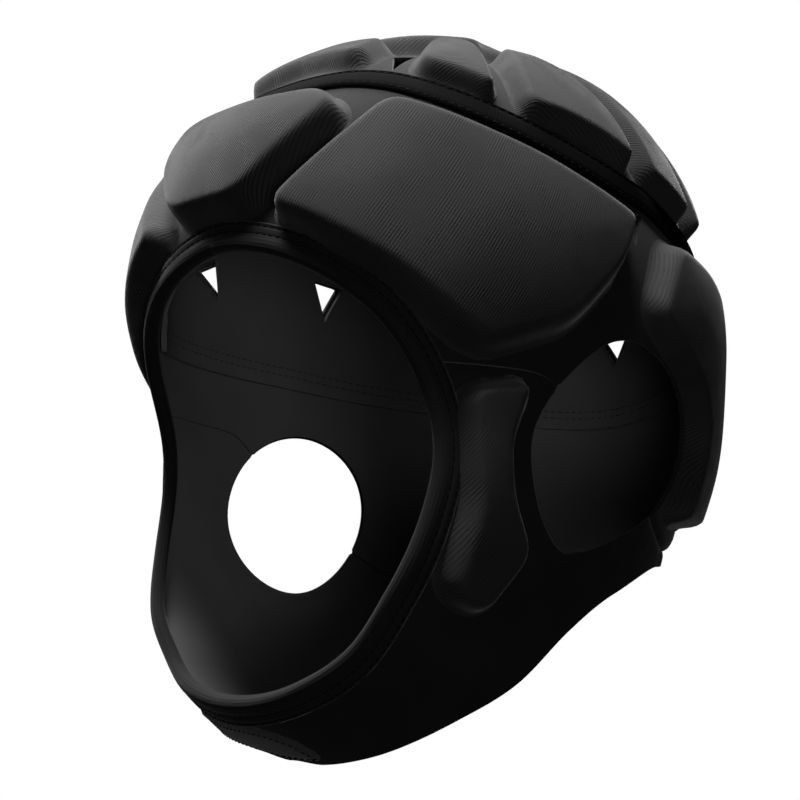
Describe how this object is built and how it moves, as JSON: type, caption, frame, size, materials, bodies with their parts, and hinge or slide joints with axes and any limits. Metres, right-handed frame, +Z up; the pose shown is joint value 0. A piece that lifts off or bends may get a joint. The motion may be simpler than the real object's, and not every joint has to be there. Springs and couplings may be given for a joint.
{
  "type": "padded headgear",
  "caption": "Soft padded head guard with raised foam pads on a cloth crown and band, an open face, round ear holes, vents and a chin strap closed by a grip tab.",
  "frame": {"origin": "top of the wearer's head, at the middle of the lining's inside under the crown", "axes": "+Z up, the face looks along -Y, the wearer's left is +X"},
  "size_m": [0.1782, 0.1997, 0.2418],
  "materials": {
    "panel_cloth": "black stretch knit",
    "pad_cover": "black stretch knit with fine slanted ribs over moulded foam",
    "lining_cloth": "matt grey brushed knit",
    "seam_tape": "woven tape, twin stitched",
    "rim_binding": "folded stretch binding",
    "grip_tab": "looped pile of a grip tape"
  },
  "bodies": {
    "root": {"forehead_pad": "pad_cover", "crown_pad_front": "pad_cover", "crown_pad_top": "pad_cover", "temple_pad_left": "pad_cover", "rear_pad_left": "pad_cover", "back_pad_left": "pad_cover", "cheek_pad_left": "pad_cover", "crown_pad_fore_left": "pad_cover", "crown_pad_side_left": "pad_cover", "crown_pad_hind_left": "pad_cover", "crown_pad_back_left": "pad_cover", "temple_pad_right": "pad_cover", "rear_pad_right": "pad_cover", "back_pad_right": "pad_cover", "cheek_pad_right": "pad_cover", "crown_pad_fore_right": "pad_cover", "crown_pad_side_right": "pad_cover", "crown_pad_hind_right": "pad_cover", "crown_pad_back_right": "pad_cover", "crown_panel": "panel_cloth", "band_panel": "panel_cloth", "cheek_panel_left": "panel_cloth", "cheek_panel_right": "panel_cloth", "lining": "lining_cloth", "crown_tape": "seam_tape", "face_binding": "rim_binding", "chin_tab": "grip_tab"}
  },
  "joints": []
}
